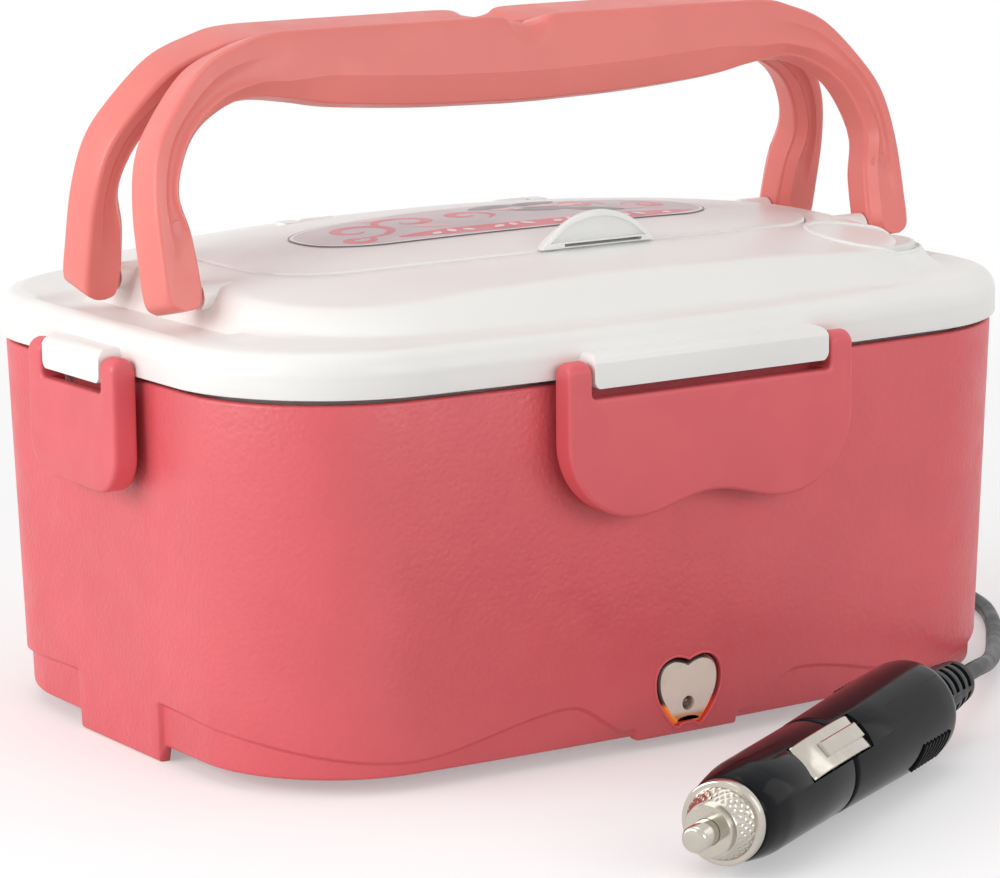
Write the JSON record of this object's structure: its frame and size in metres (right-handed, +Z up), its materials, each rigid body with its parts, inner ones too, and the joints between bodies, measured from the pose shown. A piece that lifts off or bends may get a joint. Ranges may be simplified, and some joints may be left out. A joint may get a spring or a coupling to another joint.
{
  "type": "electric lunch box",
  "caption": "Portable food warmer with lift-off lid, latch clips, folding carry handles, lift-out tubs and a vehicle-plug lead.",
  "frame": {"origin": "middle of the footprint on the table, measured without the lead", "axes": "+X along the long side to the right seen from the front, -Y is the front with the lamp, +Z up"},
  "size_m": [0.2782, 0.342, 0.1723],
  "materials": {
    "body_pink": "satin moulded PP with a fine grain",
    "handle_coral": "satin moulded PP",
    "lid_white": "semi-gloss moulded PP",
    "liner_white": "moulded PP",
    "clear_cover": "translucent PP",
    "decal": "printed film",
    "silicone": "translucent silicone",
    "steel": "brushed",
    "aluminium": "plain",
    "nickel": "nickel plate",
    "heater_ceramic": "unglazed",
    "board_green": "solder mask",
    "lamp": "clear amber epoxy",
    "lamp_window": "translucent tinted plastic",
    "black_plastic": "glossy moulded plastic",
    "black_rubber": "soft moulded PVC",
    "cord_black": "PVC sheath",
    "lead_red": "silicone sleeve",
    "fuse_glass": "clear"
  },
  "bodies": {
    "base": {"outer_shell": "body_pink", "inner_liner": "liner_white", "heating_plate": "aluminium", "plate_seal": "silicone", "ptc_heater": "heater_ceramic", "heater_clamp": "steel", "clamp_screws": "steel", "thermostat": "black_plastic", "thermal_fuse": "heater_ceramic", "indicator_lens": "lamp_window", "indicator_led": "lamp", "led_board": "board_green", "bottom_cover": "body_pink", "cover_screws": "steel", "rubber_feet": "black_rubber", "terminal_block": "liner_white", "power_leads": "lead_red", "cord_gland": "black_rubber", "cord_clamp": "liner_white", "cord_clamp_screws": "steel", "cord_rear": "cord_black", "cord_coil": "cord_black", "coil_tie": "black_rubber", "cord_front": "cord_black", "plug_strain_relief": "black_rubber", "plug_body": "black_plastic", "plug_nose": "black_plastic", "plug_ring": "nickel", "tip_spring": "steel", "plug_fuse": "fuse_glass"},
    "tip": {"plug_tip": "nickel"},
    "near_contact": {"contact_near": "nickel"},
    "far_contact": {"contact_far": "nickel"},
    "container": {"food_container": "steel"},
    "tray": {"side_tray": "liner_white"},
    "lid": {"lid_shell": "lid_white", "spoon_well": "lid_white", "lid_liner": "lid_white", "lid_gasket": "silicone"},
    "window": {"window_cover": "clear_cover", "window_label": "decal"},
    "vent": {"vent_plug": "silicone"},
    "front_clip": {"clip_front": "body_pink"},
    "back_clip": {"clip_back": "body_pink"},
    "left_clip": {"clip_left": "body_pink"},
    "right_clip": {"clip_right": "body_pink"},
    "front_handle": {"handle_front": "handle_coral"},
    "back_handle": {"handle_back": "handle_coral"}
  },
  "joints": [
    {"name": "lid_lift", "type": "slide", "parent": "base", "child": "lid", "axis": [0, 0, 1], "range_m": [0, 0.14]},
    {"name": "container_lift", "type": "slide", "parent": "base", "child": "container", "axis": [0, 0, 1], "range_m": [0, 0.07]},
    {"name": "tray_lift", "type": "slide", "parent": "container", "child": "tray", "axis": [0, 0, 1], "range_m": [0, 0.035]},
    {"name": "front_clip_hinge", "type": "hinge", "parent": "lid", "child": "front_clip", "pos_m": [0, -0.0875, 0.0962], "axis": [-1, 0, 0], "range_deg": [0, 120]},
    {"name": "back_clip_hinge", "type": "hinge", "parent": "lid", "child": "back_clip", "pos_m": [0, 0.0875, 0.0962], "axis": [1, 0, 0], "range_deg": [0, 120]},
    {"name": "left_clip_hinge", "type": "hinge", "parent": "lid", "child": "left_clip", "pos_m": [-0.1208, 0, 0.0962], "axis": [0, 1, 0], "range_deg": [0, 120]},
    {"name": "right_clip_hinge", "type": "hinge", "parent": "lid", "child": "right_clip", "pos_m": [0.1208, 0, 0.0962], "axis": [0, -1, 0], "range_deg": [0, 120]},
    {"name": "front_handle_hinge", "type": "hinge", "parent": "lid", "child": "front_handle", "pos_m": [0, -0.0204, 0.112], "axis": [1, 0, 0], "range_deg": [0, 89]},
    {"name": "back_handle_hinge", "type": "hinge", "parent": "lid", "child": "back_handle", "pos_m": [0, 0.0204, 0.112], "axis": [-1, 0, 0], "range_deg": [0, 89]},
    {"name": "window_hinge", "type": "hinge", "parent": "lid", "child": "window", "pos_m": [0, 0.0406, 0.1166], "axis": [-1, 0, 0], "range_deg": [0, 28]},
    {"name": "vent_pull", "type": "slide", "parent": "lid", "child": "vent", "axis": [0, 0, 1], "range_m": [0, 0.008]},
    {"name": "tip_push", "type": "slide", "parent": "base", "child": "tip", "axis": [0.8805, 0.4741, 0], "range_m": [0, 0.0025], "stiffness_N_per_m": 900, "springref_m": -0.003},
    {"name": "near_contact_press", "type": "slide", "parent": "base", "child": "near_contact", "axis": [-0.3352, 0.6226, -0.7071], "range_m": [0, 0.0012], "stiffness_N_per_m": 1500, "springref_m": -0.0012},
    {"name": "far_contact_press", "type": "slide", "parent": "base", "child": "far_contact", "axis": [0.3352, -0.6226, 0.7071], "range_m": [0, 0.0012], "stiffness_N_per_m": 1500, "springref_m": -0.0012}
  ],
  "couplings": [
    {"joint": "container_lift", "follows": "lid_lift", "ratio": 0.5},
    {"joint": "tray_lift", "follows": "lid_lift", "ratio": 0.25}
  ]
}
